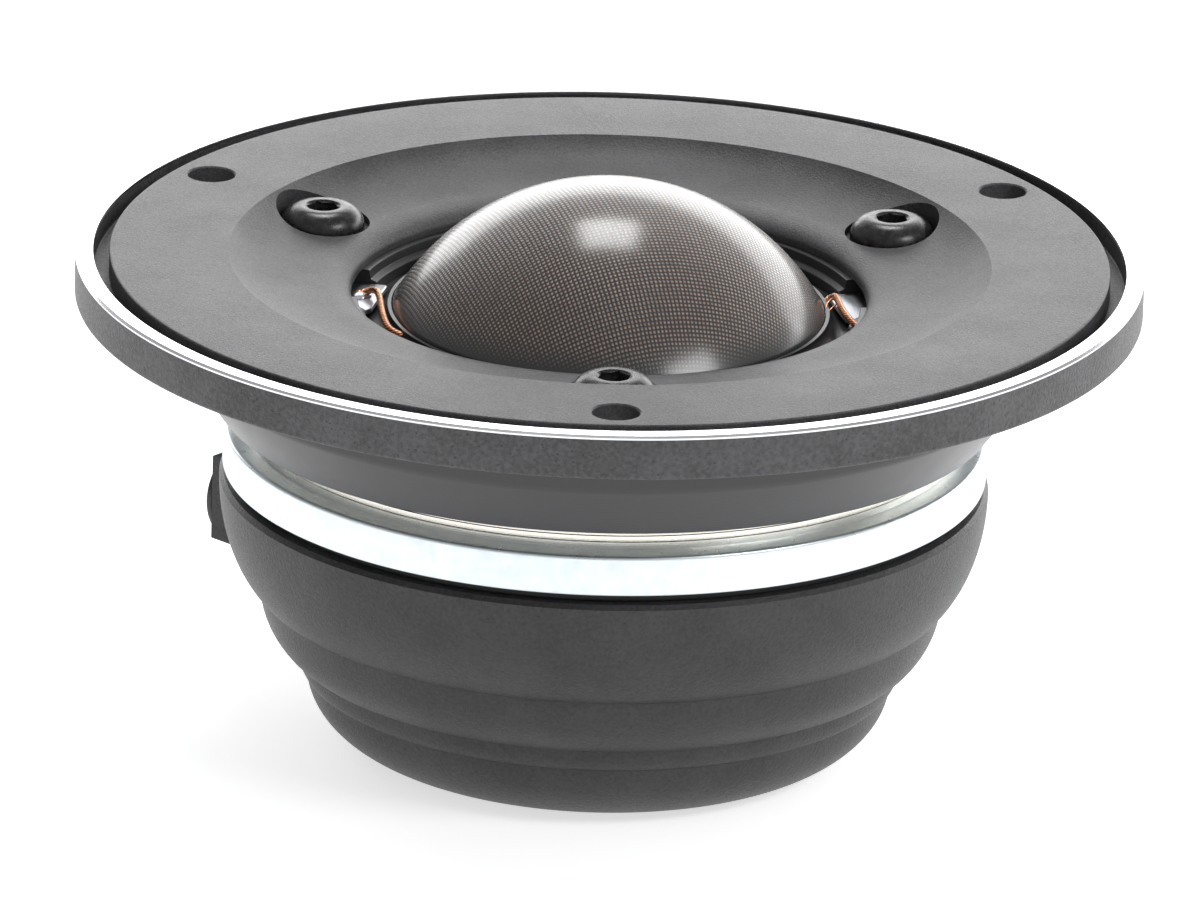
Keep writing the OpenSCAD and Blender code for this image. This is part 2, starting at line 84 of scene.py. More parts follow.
# ---------------------------------------------------------------- camera and lights
CAMERA_ELEVATION = 19.08
CAMERA_AZIMUTH = -1.25
CAMERA_ROLL = 1.62
CAMERA_DISTANCE = 1.3464
CAMERA_LENS = 600
CAMERA_LOWER = 12.99 * MM
CAMERA_LEFT = 0.31 * MM


def make_camera():
    """A long lens in front of the part, a little above it, framed as the photograph is."""
    tilt, roll = math.radians(CAMERA_ELEVATION), math.radians(CAMERA_ROLL)
    turn = Matrix.Rotation(math.radians(CAMERA_AZIMUTH), 3, "Z")
    centre = Vector((0, 0, FRONT))
    away = turn @ Vector((0, -math.cos(tilt), math.sin(tilt)))
    level = turn @ Vector((1, 0, 0))
    upright = away.cross(level)
    aim = centre - level * CAMERA_LEFT - upright * CAMERA_LOWER
    place = centre + away * CAMERA_DISTANCE
    back = (place - aim).normalized()
    side = upright.cross(back).normalized()
    top = back.cross(side)
    right = side * math.cos(roll) + top * math.sin(roll)
    up = top * math.cos(roll) - side * math.sin(roll)
    camera = bpy.data.objects.new("camera", bpy.data.cameras.new("camera"))
    camera.data.lens = CAMERA_LENS
    camera.data.sensor_width = 36
    camera.data.clip_start = 0.05
    camera.data.clip_end = 20
    camera.matrix_world = Matrix.Translation(place) @ Matrix((right, up, back)).transposed().to_4x4()
    bpy.context.scene.collection.objects.link(camera)
    bpy.context.scene.camera = camera


def softbox(name, azimuth, elevation, distance, width, height, radiance, tint=(1, 1, 1)):
    """Rectangular light that faces the part. Azimuth 0 is the camera's side and 90 the right."""
    a, e = math.radians(azimuth), math.radians(elevation)
    away = Vector((math.sin(a) * math.cos(e), -math.cos(a) * math.cos(e), math.sin(e)))
    data = bpy.data.lights.new(name, "AREA")
    data.shape = "RECTANGLE"
    data.size, data.size_y = width, height
    data.energy = radiance * math.pi * width * height
    data.color = tint
    light = bpy.data.objects.new(name, data)
    light.location = Vector((0, 0, FRONT)) + away * distance
    light.rotation_mode = "QUATERNION"
    light.rotation_quaternion = away.to_track_quat("Z", "Y")
    light.visible_camera = False
    bpy.context.scene.collection.objects.link(light)


def make_studio():
    """Pale floor, white surroundings and a few softboxes."""
    softbox("back_wall", 168, 13, 1.6, 3.0, 0.8, 3.3)
    softbox("back_top", 180, 61, 1.2, 0.36, 0.42, 12)
    softbox("right_front", 50, 36, 1.2, 0.5, 0.26, 11)
    softbox("right_low", 112, 6, 1.4, 0.8, 0.5, 3.2)
    world = bpy.data.worlds.new("studio")
    world.use_nodes = True
    world.node_tree.nodes["Background"].inputs["Color"].default_value = (0.96, 0.97, 1, 1)
    world.node_tree.nodes["Background"].inputs["Strength"].default_value = 0.42
    bpy.context.scene.world = world
    bpy.context.scene.view_settings.view_transform = "Standard"
    bpy.ops.mesh.primitive_plane_add(size=6)
    floor = bpy.context.object
    floor.name = "floor"
    look = Look("floor_paper", roughness=0.7, emission_color=(1, 1, 1, 1), emission_strength=0.62)
    grain = look.noise(0.02, 3)
    look.set("Base Color", look.ramp(grain, [(0.3, (0.86, 0.86, 0.87)), (0.7, (0.9, 0.9, 0.9))]))
    floor.data.materials.append(look.material)


# ---------------------------------------------------------------- materials
class Look:
    """A node material, with short calls for the nodes that the looks below share."""

    def __init__(self, name, **uniform):
        self.material = bpy.data.materials.new(name)
        self.material.use_nodes = True
        self.tree = self.material.node_tree
        self.shader = self.tree.nodes["Principled BSDF"]
        for socket, value in uniform.items():
            self.shader.inputs[socket.replace("_", " ").title().replace("Ior", "IOR")].default_value = value
        self._place = None

    def node(self, kind, inputs=(), **settings):
        """New node: settings are its attributes, inputs are (socket, value or output)."""
        made = self.tree.nodes.new("ShaderNode" + kind)
        for key, value in settings.items():
            setattr(made, key, value)
        for socket, value in inputs:
            self.feed(made.inputs[socket], value)
        return made

    def feed(self, socket, value):
        """Links an output to a socket, or sets a plain value on it."""
        if isinstance(value, bpy.types.NodeSocket):
            self.tree.links.new(value, socket)
        elif isinstance(value, tuple) and len(value) == 3 and len(socket.default_value) == 4:
            socket.default_value = (*value, 1)
        else:
            socket.default_value = value

    def set(self, socket, value):
        self.feed(self.shader.inputs[socket], value)

    def place(self):
        """The point being shaded, in millimetres in the row frame."""
        if self._place is None:
            coords = self.node("TexCoord").outputs["Object"]
            scaled = self.node("VectorMath", [(0, coords), ("Scale", 1 / MM)], operation="SCALE")
            self._place = scaled.outputs["Vector"]
        return self._place

    def math(self, operation, a, b=0.0, c=0.0):
        return self.node("Math", [(0, a), (1, b), (2, c)], operation=operation).outputs[0]

    def split(self, vector=None):
        """X, Y and Z of a vector."""
        return self.node("SeparateXYZ", [(0, vector or self.place())]).outputs

    def noise(self, per_mm, detail=2.0, roughness=0.5, vector=None):
        made = self.node(
            "TexNoise",
            [("Vector", vector or self.place()), ("Scale", per_mm), ("Detail", detail),
             ("Roughness", roughness)],
        )
        return made.outputs["Fac"]

    def cells(self, per_mm, output="Distance", feature="F1"):
        made = self.node("TexVoronoi", [("Vector", self.place()), ("Scale", per_mm)], feature=feature)
        return made.outputs[output]

    def ramp(self, fac, stops):
        """Colour or grey ramp through (position, value) stops."""
        made = self.node("ValToRGB", [("Fac", fac)])
        band = made.color_ramp
        while len(band.elements) < len(stops):
            band.elements.new(0.5)
        for element, (position, value) in zip(band.elements, stops):
            element.position = position
            element.color = (*value, 1) if isinstance(value, tuple) else (value, value, value, 1)
        return made.outputs["Color"]

    def mix(self, fac, a, b):
        made = self.node("Mix", data_type="RGBA")
        self.feed(made.inputs[0], fac)
        self.feed(made.inputs[6], a)
        self.feed(made.inputs[7], b)
        return made.outputs[2]

    def bump(self, height, millimetres, strength=1.0):
        """Bump of that height, added to any bump already there."""
        made = self.node("Bump", [("Height", height), ("Distance", millimetres * MM), ("Strength", strength)])
        socket = self.shader.inputs["Normal"]
        if socket.is_linked:
            self.tree.links.new(socket.links[0].from_socket, made.inputs["Normal"])
        self.tree.links.new(made.outputs["Normal"], socket)


def textured_coat(name, grain=0.2, relief=0.05, dark=0.03, light=0.075, rough=(0.36, 0.56)):
    """Black coat with the fine grain of a coated casting: low bumps with small pits between, the raised grain
    painted lighter as painted highlight over a random tone, and the pits painted near-black as painted shade.
    """
    look = Look(name)
    bumps = look.noise(1 / grain, 2, 0.55)
    fine = look.noise(3.1 / grain, 2, 0.6)
    broad = look.noise(0.2, 3, 0.55)
    # pits: sunk in the bump, and painted near-black in the colour below as painted shade in each pit
    pits_and_pit_shade = look.ramp(look.cells(0.62 / grain), [(0.04, 0.0), (0.2, 1.0)])
    height = look.math("ADD", look.math("MULTIPLY", bumps, 0.9), look.math("MULTIPLY", fine, 0.55))
    height = look.math("ADD", height, look.math("MULTIPLY", pits_and_pit_shade, 0.35))
    # lighter colour follows the raised bumps: painted highlight on the grain crowns, mixed with a broad
    # random tone
    grain_highlight_and_tone = look.math("ADD", look.math("MULTIPLY", bumps, 0.55), look.math("MULTIPLY", broad, 0.45))
    low = (dark, dark * 0.98, dark * 1.02)
    high = (light, light * 0.98, light * 1.03)
    tone = look.ramp(grain_highlight_and_tone, [(0.38, low), (0.62, high)])
    look.set("Base Color", look.mix(pits_and_pit_shade, (dark * 0.3, dark * 0.3, dark * 0.3), tone))
    look.set("Roughness", look.ramp(fine, [(0.35, rough[0]), (0.65, rough[1])]))
    look.bump(height, relief)
    return look.material


def satin_black():
    """Smooth satin finish with faint turning marks and handling haze."""
    look = Look("satin_black_finish", coat_weight=0.25, coat_roughness=0.25)
    haze = look.noise(0.12, 4, 0.6)
    fine = look.noise(9, 2)
    turned = look.math("SINE", look.math("MULTIPLY", look.split()[2], 38))
    look.set("Base Color", look.ramp(haze, [(0.3, (0.022, 0.022, 0.024)), (0.7, (0.034, 0.033, 0.035))]))
    look.set("Roughness", look.ramp(haze, [(0.3, 0.34), (0.7, 0.46)]))
    look.bump(fine, 0.006)
    look.bump(turned, 0.0015)
    return look.material


def moulded_black(name="moulded_black_finish", rough=0.3, tone=0.018):
    """Moulded plastic: slightly glossy, with a faint matt grain."""
    look = Look(name)
    grain = look.noise(12, 3)
    broad = look.noise(0.3, 2)
    look.set("Base Color", look.ramp(broad, [(0.3, (tone, tone, tone * 1.1)), (0.7, (tone * 1.5,) * 3)]))
    look.set("Roughness", look.ramp(grain, [(0.3, rough), (0.7, rough + 0.14)]))
    look.bump(grain, 0.008)
    return look.material


def screw_black():
    """Black zinc on a steel screw: semi-gloss, with lighter wear at the top."""
    look = Look("screw_black_finish")
    wear = look.noise(2.4, 4, 0.65)
    look.set("Base Color", look.ramp(wear, [(0.42, (0.01, 0.009, 0.01)), (0.75, (0.04, 0.036, 0.036))]))
    look.set("Roughness", look.ramp(wear, [(0.35, 0.22), (0.7, 0.36)]))
    look.bump(look.noise(14, 2), 0.006)
    return look.material


def turned_metal(name, tone, rough, per_mm, relief, along="radius", haze=0.08, metallic=1.0):
    """Bright metal with fine lines: along the radius on a faced surface, along z on a turned one."""
    look = Look(name, metallic=metallic)
    x, y, z = look.split()
    radius = look.math("SQRT", look.math("ADD", look.math("MULTIPLY", x, x), look.math("MULTIPLY", y, y)))
    step = radius if along == "radius" else (z if along == "z" else look.math("ADD", radius, z))
    line = look.node("CombineXYZ", [(0, step)]).outputs[0]
    rings = look.noise(per_mm, 4, 0.75, vector=line)
    stain = look.noise(0.22, 4, 0.6)
    low = tuple(c * (1 - haze) for c in tone)
    look.set("Base Color", look.mix(look.ramp(stain, [(0.35, 0.0), (0.7, 1.0)]), low, tone))
    grey = look.math("ADD", look.math("MULTIPLY", rings, 0.5), look.math("MULTIPLY", stain, 0.5))
    look.set("Roughness", look.ramp(grey, [(0.3, rough[0]), (0.7, rough[1])]))
    look.bump(rings, relief)
    return look.material


def zinc_plate():
    """Bluish-white zinc plate with a soft green and violet cast and light handling marks."""
    look = Look("zinc_plate_finish", metallic=0.92)
    cast = look.noise(0.09, 3, 0.5)
    mottle = look.noise(1.3, 4, 0.65)
    tint = look.ramp(cast, [(0.3, (0.7, 0.79, 0.82)), (0.5, (0.78, 0.84, 0.86)), (0.7, (0.75, 0.8, 0.77))])
    marks = look.ramp(mottle, [(0.3, 0.0), (0.68, 1.0)])
    look.set("Base Color", look.mix(marks, (0.7, 0.76, 0.78), tint))
    look.set("Roughness", look.ramp(mottle, [(0.3, 0.38), (0.7, 0.26)]))
    look.bump(look.noise(5, 4, 0.6), 0.01)
    return look.material


WEAVE_PITCH = 0.31
WEAVE_TURN = 16


def dome_cloth(centre_z):
    """Plain weave laid over the sphere from its apex under a glossy coat: each crossing is coloured tan,
    partly thread colour and partly painted highlight, and the gaps between threads are painted near-black as
    painted shade.
    """
    look = Look("dome_cloth_finish", coat_weight=0.8, coat_roughness=0.2, coat_ior=1.55)
    x, y, z = look.split()
    across = look.math("SQRT", look.math("ADD", look.math("MULTIPLY", x, x), look.math("MULTIPLY", y, y)))
    slope = look.math("ARCTAN2", across, look.math("SUBTRACT", z, centre_z / MM))
    arc = look.math("MULTIPLY", slope, DOME_RADIUS / MM)
    share = look.math("DIVIDE", arc, look.math("MAXIMUM", across, 0.001))
    turn = math.radians(WEAVE_TURN)
    cloth = []
    for cx, cy in ((math.cos(turn), math.sin(turn)), (-math.sin(turn), math.cos(turn))):
        flat = look.math("ADD", look.math("MULTIPLY", x, cx), look.math("MULTIPLY", y, cy))
        wander = look.math("MULTIPLY", look.math("SUBTRACT", look.noise(0.7, 2), 0.5), 0.12)
        threads = look.math("ADD", look.math("MULTIPLY", flat, share), wander)
        cloth.append(look.math("SINE", look.math("MULTIPLY", threads, math.pi / WEAVE_PITCH)))
    u, v = cloth
    crown = look.math("ABSOLUTE", look.math("MULTIPLY", u, v))
    uneven = look.noise(2.2, 2)
    tan = look.mix(look.ramp(uneven, [(0.35, 0.0), (0.65, 1.0)]), (0.24, 0.16, 0.115), (0.37, 0.265, 0.2))
    # crowns take the tan, partly as painted highlight; gaps between threads take near-black as painted shade
    thread_tone_and_painted_light = look.mix(look.ramp(crown, [(0.4, 0.0), (0.9, 1.0)]), (0.009, 0.006, 0.005), tan)
    band = look.ramp(look.math("DIVIDE", across, 16.0), [(0.84, 0.0), (0.9, 1.0)])
    look.set("Base Color", look.mix(band, thread_tone_and_painted_light, (0.012, 0.011, 0.011)))
    look.set("Roughness", look.ramp(crown, [(0.2, 0.5), (0.9, 0.3)]))
    relief = look.math("MULTIPLY", crown, look.math("SUBTRACT", 1.0, look.math("MULTIPLY", band, 0.8)))
    look.bump(relief, 0.045)
    return look.material


def plain_cloth(name, tone, pitch, rough=0.75, relief=0.03):
    """Close cloth, felt or foam: fine fibres with uneven colour."""
    look = Look(name, sheen_weight=0.3)
    fibres = look.noise(1 / pitch, 4, 0.7)
    broad = look.noise(0.3, 3)
    low = tuple(c * 0.7 for c in tone)
    look.set("Base Color", look.mix(look.ramp(fibres, [(0.35, 0.0), (0.65, 1.0)]), low, tone))
    look.set("Roughness", look.ramp(broad, [(0.3, rough - 0.1), (0.7, rough + 0.1)]))
    look.bump(fibres, relief)
    return look.material


def copper(name, tone=(0.86, 0.42, 0.24), rough=0.22):
    """Bare or enamelled copper, a little tarnished in places."""
    look = Look(name, metallic=1.0)
    tarnish = look.noise(1.6, 4, 0.7)
    dull = tuple(c * 0.5 for c in tone)
    look.set("Base Color", look.mix(look.ramp(tarnish, [(0.42, 0.0), (0.7, 1.0)]), tone, dull))
    look.set("Roughness", look.ramp(tarnish, [(0.3, rough), (0.7, rough + 0.2)]))
    look.bump(look.noise(8, 2), 0.006)
    return look.material


# ---------------------------------------------------------------- mesh helpers
def new_object(name, mesh, material):
    obj = bpy.data.objects.new(name, mesh)
    obj.data.materials.append(material)
    bpy.context.scene.collection.objects.link(obj)
    return obj


def finish_mesh(bm, name, material, sharp=32):
    """Mesh object from a bmesh, smooth but for edges sharper than the angle given."""
    bmesh.ops.remove_doubles(bm, verts=bm.verts, dist=1e-7)
    bmesh.ops.recalc_face_normals(bm, faces=bm.faces)
    for face in bm.faces:
        face.smooth = True
    mesh = bpy.data.meshes.new(name)
    bm.to_mesh(mesh)
    bm.free()
    mesh.set_sharp_from_angle(angle=math.radians(sharp))
    return new_object(name, mesh, material)


def rounded(corners, arc_steps=5):
    """Closed outline from (x, y, fillet) corners, each fillet drawn as an arc."""
    points = []
    for i, (x, y, fillet) in enumerate(corners):
        here = Vector((x, y))
        if fillet <= 0:
            points.append(here)
            continue
        before = Vector(corners[i - 1][:2]) - here
        after = Vector(corners[(i + 1) % len(corners)][:2]) - here
        half = before.angle(after) / 2
        reach = min(fillet / math.tan(half), before.length * 0.49, after.length * 0.49)
        start = here + before.normalized() * reach
        end = here + after.normalized() * reach
        for k in range(arc_steps + 1):
            t = k / arc_steps
            points.append(start * (1 - t) ** 2 + here * 2 * t * (1 - t) + end * t * t)
    return [(p.x, p.y) for p in points]


def lathe(name, outline, material, steps=STEPS, radial=None, sharp=32):
    """Turned solid from an outline of (radius, z). It is closed unless both ends are on the axis."""
    ends_on_axis = outline[0][0] < 1e-9 and outline[-1][0] < 1e-9
    bm = bmesh.new()
    rings = []
    for i in range(steps):
        a = 2 * math.pi * i / steps
        ring = []
        for r, z in outline:
            if radial:
                r = radial(r, a, z)
            ring.append(bm.verts.new((r * math.cos(a), r * math.sin(a), z)))
        rings.append(ring)
    count = len(outline) - 1 if ends_on_axis else len(outline)
    for i in range(steps):
        near, far = rings[i], rings[(i + 1) % steps]
        for k in range(count):
            n = (k + 1) % len(outline)
            bm.faces.new((near[k], far[k], far[n], near[n]))
    bmesh.ops.remove_doubles(bm, verts=bm.verts, dist=1e-7)
    bmesh.ops.dissolve_degenerate(bm, edges=bm.edges, dist=1e-8)
    return finish_mesh(bm, name, material, sharp)


def prism(name, outline, height, material, matrix, bevel=0.0, segments=3):
    """Flat outline pushed up by height, its edges rounded, then moved by the matrix."""
    bm = bmesh.new()
    face = bm.faces.new([bm.verts.new((x, y, 0)) for x, y in outline])
    grown = bmesh.ops.extrude_face_region(bm, geom=[face])
    for v in (g for g in grown["geom"] if isinstance(g, bmesh.types.BMVert)):
        v.co.z += height
    bmesh.ops.recalc_face_normals(bm, faces=bm.faces)
    if bevel > 0:
        rims = [e for e in bm.edges if len(e.link_faces) == 2 and e.calc_face_angle(0) > 0.9]
        bmesh.ops.bevel(bm, geom=rims, offset=bevel, segments=segments, affect="EDGES", profile=0.5)
    bm.transform(matrix)
    return finish_mesh(bm, name, material)


def combine(obj, others, operation):
    """Boolean of obj with the others, applied; the others are removed."""
    for other in others:
        change = obj.modifiers.new("change", "BOOLEAN")
        change.operation, change.solver, change.object = operation, "EXACT", other
        shaped = bpy.data.meshes.new_from_object(obj.evaluated_get(bpy.context.evaluated_depsgraph_get()))
        obj.modifiers.clear()
        obj.data = shaped
        bpy.data.objects.remove(other)
    obj.data.set_sharp_from_angle(angle=math.radians(32))
    return obj


def drill(x, y, outline, steps=96):
    """Turned cutter at x, y."""
    tool = lathe("cutter", outline, None, steps)
    tool.data.transform(Matrix.Translation((x, y, 0)))
    return tool


def hole_outline(r, low, high, flare=0.0):
    """Outline of a round cutter from low to high, opened out by flare at the top."""
    over = 0.4 * MM
    return [(0, low - over), (r, low - over), (r, high - flare),
            (r + flare + over, high + over), (0, high + over)]


def join(name, objects):
    """Joins several objects into one, under that name."""
    bm = bmesh.new()
    for obj in objects:
        bm.from_mesh(obj.data)
    mesh = bpy.data.meshes.new(name)
    bm.to_mesh(mesh)
    bm.free()
    joined = new_object(name, mesh, objects[0].data.materials[0])
    for obj in objects:
        bpy.data.objects.remove(obj)
    return joined


def smooth_path(points, per_span=10):
    """Dense points on a smooth curve through the ones given."""
    p = [points[0] * 2 - points[1], *points, points[-1] * 2 - points[-2]]
    out = []
    for i in range(1, len(p) - 2):
        for k in range(per_span):
            t = k / per_span
            out.append(0.5 * (2 * p[i] + (p[i + 1] - p[i - 1]) * t
                       + (2 * p[i - 1] - 5 * p[i] + 4 * p[i + 1] - p[i + 2]) * t * t
                       + (3 * p[i] - p[i - 1] - 3 * p[i + 1] + p[i + 2]) * t ** 3))
    out.append(p[-2])
    return out


def tube(name, path, radius, material, sides=10, taper=0.0):
    """Round tube along a path, its ends closed; taper narrows the last fifth."""
    bm = bmesh.new()
    up = Vector((0, 0, 1))
    rings = []
    last = len(path) - 1
    for i, point in enumerate(path):
        ahead = (path[min(i + 1, last)] - path[max(i - 1, 0)]).normalized()
        side = ahead.cross(up)
        side = side.normalized() if side.length > 1e-6 else Vector((1, 0, 0))
        up = side.cross(ahead).normalized()
        r = radius * (1 - taper * max(0.0, (i / last - 0.8) / 0.2))
        rings.append([
            bm.verts.new(point + (side * math.cos(a) + up * math.sin(a)) * r)
            for a in (2 * math.pi * k / sides for k in range(sides))
        ])
    for near, far in zip(rings, rings[1:]):
        for k in range(sides):
            bm.faces.new((near[k], near[(k + 1) % sides], far[(k + 1) % sides], far[k]))
    bm.faces.new(list(reversed(rings[0])))
    bm.faces.new(rings[-1])
    return finish_mesh(bm, name, material, sharp=60)


def place_on(obj, body, slot, *nodes):
    """Rides a finished piece on its body and hides the CAD nodes it stands for."""
    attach(obj, body)
    if nodes:
        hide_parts(*nodes)


# ---------------------------------------------------------------- flange, trim and faceplate
FIXING_AZIMUTHS = (-90, 30, 150)
FACE_T = 1.6
MOUNT_RING = 31.1
MOUNT_HOLE = 1.6 * MM
SCREW_RING = 22.3
SCREW_CLEAR = 1.7 * MM
POCKET_R = 3.2 * MM
POCKET_FLOOR = 2.2
TRIM_INNER = FLANGE_R - 1.2 * MM
THROAT = 17.4
THROAT_DEPTH = 2.75
MOUTH = 25.7
RIDGE = 19.6
DISH_DROP = 1.87
DISH_RUN = 2.15
WEB_INNER = 28.75 * MM
SEAT_INNER = COLLAR_R + 0.05 * MM
SEAT_RELIEF = 0.4 * MM


def dish_depth(inwards):
    """Depth of the dish at a distance in from its mouth: steep at first, then nearly flat."""
    return DISH_DROP * (1 - math.exp(-inwards / DISH_RUN))


def dish_outline():
    """The waveguide from its mouth over the dish, then over the rounded ridge into the throat."""
    points = []
    for i in range(33):
        inwards = (MOUTH - RIDGE) * (i / 32) ** 1.3
        points.append(((MOUTH - inwards) * MM, depth(dish_depth(inwards))))
    start = dish_depth(MOUTH - RIDGE)
    for k in range(1, 15):
        a = math.radians(90 * k / 14)
        r = RIDGE - (RIDGE - THROAT) * math.sin(a)
        points.append((r * MM, depth(start + (THROAT_DEPTH - start) * (1 - math.cos(a)))))
    return points


def make_faceplate(material):
    edge = rounded([(FACE_R, depth(FACE_T), 0), (FACE_R, FRONT, 0.16 * MM), (MOUTH * MM + 3 * MM, FRONT, 0)])
    web = WEB_INNER - 0.05 * MM
    outline = [(THROAT * MM, FACE_BACK), (web, FACE_BACK), (web, depth(FACE_T))]
    outline += edge + [((MOUTH + 0.06) * MM, FRONT)] + dish_outline()
    plate = lathe("faceplate_casting", outline, material, sharp=38)
    cutters = []
    for azimuth in FIXING_AZIMUTHS:
        hole = polar(MOUNT_RING, azimuth, 0)
        cutters.append(drill(hole.x, hole.y, hole_outline(MOUNT_HOLE, FACE_BACK, FRONT, 0.1 * MM)))
        seat = polar(SCREW_RING, azimuth, 0)
        floor_z = depth(POCKET_FLOOR)
        cutters.append(drill(seat.x, seat.y, hole_outline(SCREW_CLEAR, FACE_BACK, floor_z - 0.1 * MM)))
        floor = [(0, floor_z), (POCKET_R, floor_z), (POCKET_R, FRONT + MM), (0, FRONT + MM)]
        cutters.append(drill(seat.x, seat.y, floor))
    combine(plate, cutters, "DIFFERENCE")
    place_on(plate, "frame", "textured_black", "faceplate")


def make_flange(material):
    outline = rounded([
        (WEB_INNER, depth(FACE_T), 0),
        (TRIM_INNER, depth(FACE_T), 0.12 * MM),
        (TRIM_INNER, FRONT - TRIM_T, 0),
        (FLANGE_R, FRONT - TRIM_T, 0),
        (FLANGE_R, FLANGE_BACK, 0.3 * MM),
        (SEAT_INNER, FLANGE_BACK, 0),
        (WEB_INNER, FLANGE_BACK + SEAT_RELIEF, 0),
    ])
    flange = lathe("flange_casting", outline, material)
    cutters = []
    for azimuth in FIXING_AZIMUTHS:
        hole = polar(MOUNT_RING, azimuth, 0)
        cutters.append(drill(hole.x, hole.y, hole_outline(MOUNT_HOLE, FLANGE_BACK, depth(FACE_T))))
    combine(flange, cutters, "DIFFERENCE")
    place_on(flange, "frame", "textured_black", "flange_ring")


def make_trim(material):
    outline = rounded([
        (TRIM_INNER, FRONT - TRIM_T, 0),
        (TRIM_INNER, FRONT, 0.03 * MM),
        (FLANGE_R - 0.2 * MM, FRONT, 0),
        (FLANGE_R, FRONT - 0.12 * MM, 0),
        (FLANGE_R, FRONT - TRIM_T, 0),
    ], 3)
    place_on(lathe("trim_ring_cut", outline, material, sharp=20), "frame", "cut_aluminium", "trim_ring")


# ---------------------------------------------------------------- screws
BUTTON_R = 2.85
BUTTON_H = 1.65
BUTTON_FLAT = 1.5
HEX_FLATS = 2.0
FACE_SCREW = 6.0


def make_face_screws(material):
    """Three button-head screws, each turned its own way."""
    seat = depth(POCKET_FLOOR)
    crown = []
    for k in range(11):
        a = math.radians(90 * k / 10)
        crown.append(((BUTTON_FLAT + (BUTTON_R - BUTTON_FLAT) * math.cos(a)) * MM,
                      seat + (0.3 + (BUTTON_H - 0.3) * math.sin(a)) * MM))
    shank = 1.5 * MM
    outline = [(0, seat - FACE_SCREW * MM), (shank - 0.3 * MM, seat - FACE_SCREW * MM),
               (shank, seat - (FACE_SCREW - 0.3) * MM), (shank, seat), (BUTTON_R * MM, seat), *crown,
               ((BUTTON_FLAT - 0.12) * MM, seat + BUTTON_H * MM), (0, seat + BUTTON_H * MM)]
    for number, (azimuth, turn) in enumerate(zip(FIXING_AZIMUTHS, (14, 38, -9))):
        screw = lathe(f"faceplate_screw_{number + 1}", outline, material, 96)
        top = seat + BUTTON_H * MM
        sides = [(HEX_FLATS / math.sqrt(3) * MM * math.cos(math.radians(60 * k + turn)),
                  HEX_FLATS / math.sqrt(3) * MM * math.sin(math.radians(60 * k + turn))) for k in range(6)]
        socket = prism("cutter", sides, 1.6 * MM, None, Matrix.Translation((0, 0, top - 1.05 * MM)))
        mouth = lathe("cutter", [(0, top - 0.14 * MM), (1.06 * MM, top - 0.14 * MM),
                                 (1.28 * MM, top + 0.06 * MM),
                                 (0, top + 0.06 * MM)], None, 48)
        combine(screw, [socket, mouth], "DIFFERENCE")
        place = polar(SCREW_RING, azimuth, 0)
        screw.data.transform(Matrix.Translation((place.x, place.y, 0)))
        place_on(screw, "frame", "black_screw", *(["faceplate_screws"] if number == 0 else []))


# ---------------------------------------------------------------- diaphragm
SKIRT_R = 14.6
FORMER_R = 14.15


def make_dome():
    """Dome cap and the short skirt that sits round the former."""
    centre = DOME_TOP - DOME_RADIUS
    skirt_top = 3.6
    rim = math.acos((depth(skirt_top) - centre) / DOME_RADIUS)
    outer = [(DOME_RADIUS * math.sin(rim * i / 60), centre + DOME_RADIUS * math.cos(rim * i / 60))
             for i in range(61)]
    inner_r = DOME_RADIUS - DOME_CLOTH
    foot = math.asin(FORMER_R * MM / inner_r)
    inner = [(inner_r * math.sin(foot * i / 30), centre + inner_r * math.cos(foot * i / 30))
             for i in range(30, -1, -1)]
    outline = outer + [(SKIRT_R * MM, DOME_FOOT + 0.05 * MM), ((SKIRT_R - 0.05) * MM, DOME_FOOT),
                       (FORMER_R * MM, DOME_FOOT)] + inner
    dome = lathe("dome_cap", outline, dome_cloth(centre), sharp=45)
    place_on(dome, "diaphragm", "dome_cloth", "dome")


def make_surround(material):
    """Coated cloth that falls beside the dome's skirt in a quarter roll and runs out to its clamped edge."""
    def roll(width, height):
        steps = (math.radians(6 * i) for i in range(16))
        return [((16.1 - width * math.cos(a)) * MM, depth(3.6 + height * math.sin(a))) for a in steps]

    outline = roll(1.2, 0.97) + [(16.7 * MM, depth(4.57)), (16.7 * MM, depth(4.79))]
    outline += list(reversed(roll(1.44, 1.19)))
    skin = lathe("surround_cloth_ring", outline, material, sharp=50)
    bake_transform(skin)
    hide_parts("surround")


LUG_AZIMUTH = 12
LUG_SHIFT = 1.1


def make_clamp_ring(material):
    outline = rounded([
        (16.42 * MM, depth(4.55), 0),
        (16.42 * MM, depth(3.9), 0.15 * MM),
        (16.85 * MM, depth(3.72), 0.1 * MM),
        (16.95 * MM, depth(3.07), 0.12 * MM),
        (18.6 * MM, depth(3.07), 0),
        (18.6 * MM, depth(4.78), 0),
        (16.76 * MM, depth(4.78), 0),
        (16.76 * MM, depth(4.55), 0),
    ])
    ring = lathe("clamp_ring_moulding", outline, material)
    cutters = []
    for azimuth, shift in ((LUG_AZIMUTH, -LUG_SHIFT), (180 - LUG_AZIMUTH, LUG_SHIFT)):
        half = 2.85
        slot = [(x * MM, (shift + y) * MM) for x, y in ((15.5, -half), (18, -half), (18, half), (15.5, half))]
        turn = Matrix.Rotation(math.radians(azimuth), 4, "Z")
        cutters.append(prism("cutter", slot, 2.5 * MM, None, turn @ Matrix.Translation((0, 0, depth(5.2)))))
    combine(ring, cutters, "DIFFERENCE")
    place_on(ring, "frame", "moulded_black", "clamp_ring")


